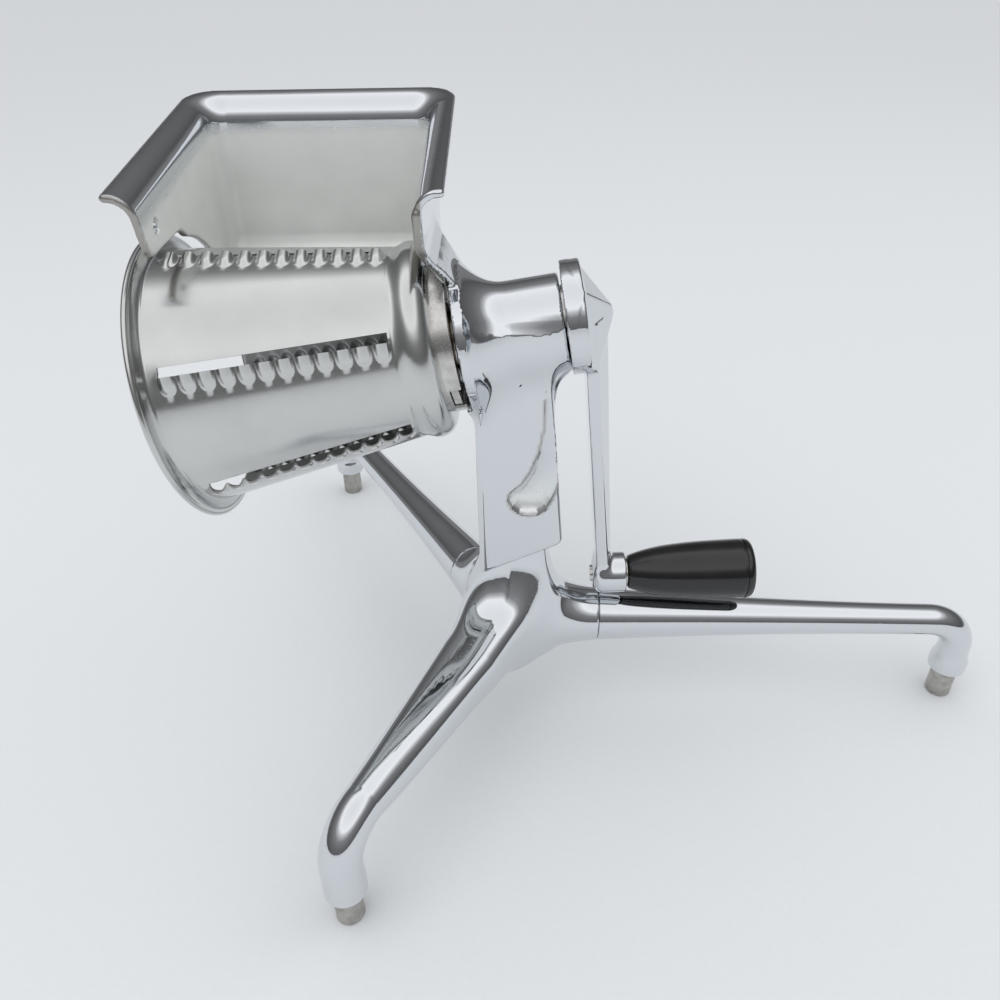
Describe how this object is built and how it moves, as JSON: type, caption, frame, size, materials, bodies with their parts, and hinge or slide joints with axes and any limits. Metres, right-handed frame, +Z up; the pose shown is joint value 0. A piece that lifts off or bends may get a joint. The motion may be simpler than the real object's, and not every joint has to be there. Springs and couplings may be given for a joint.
{
  "type": "rotary cabbage shredder",
  "caption": "Hand-cranked rotary shredder: chromed tripod and open hopper over a cone-shaped shredding drum, turned by a crank with a black grip.",
  "frame": {"origin": "on the table plane, under the middle of the bounding box", "axes": "+X from the drum's mouth to the crank, along the right leg; +Y to the back; +Z up"},
  "size_m": [0.341, 0.3064, 0.2597],
  "materials": {
    "chrome_casting": "polished chrome plate on a casting",
    "drum_steel": "stainless sheet, softly brushed around its axis",
    "turned_steel": "turned steel",
    "bearing_bronze": "sintered bronze",
    "grip_plastic": "glossy black moulded phenolic"
  },
  "bodies": {
    "root": {"body_casting": "chrome_casting", "base_casting": "chrome_casting", "right_leg": "chrome_casting", "rear_leg": "chrome_casting", "right_leg_stud": "turned_steel", "rear_leg_stud": "turned_steel", "front_foot_peg": "turned_steel", "right_foot_peg": "turned_steel", "rear_foot_peg": "turned_steel", "post_screws": "turned_steel", "front_bush": "bearing_bronze", "rear_bush": "bearing_bronze"},
    "rotor": {"drive_shaft": "turned_steel", "drive_hub": "turned_steel", "hub_pin": "turned_steel", "hub_washer": "turned_steel", "crank_washer": "turned_steel", "crank_arm": "chrome_casting", "crank_grub_screw": "turned_steel", "grip_spindle": "turned_steel", "grip_washer": "turned_steel"},
    "grip": {"grip": "grip_plastic", "grip_cap": "grip_plastic"},
    "drum": {"drum": "drum_steel", "drum_collar": "drum_steel", "collar_rivets": "drum_steel"}
  },
  "joints": [
    {"name": "crank_turn", "type": "hinge", "parent": "root", "child": "rotor", "pos_m": [-0.05636, -0.03399, 0.19], "axis": [0.988, 0, 0.1547], "continuous": true},
    {"name": "drum_pull", "type": "slide", "parent": "rotor", "child": "drum", "axis": [-0.988, 0, -0.1547], "range_m": [0, 0.12]},
    {"name": "grip_spin", "type": "hinge", "parent": "rotor", "child": "grip", "pos_m": [-0.00507, -0.03399, 0.0759], "axis": [0.9997, 0, 0.0262], "continuous": true}
  ]
}
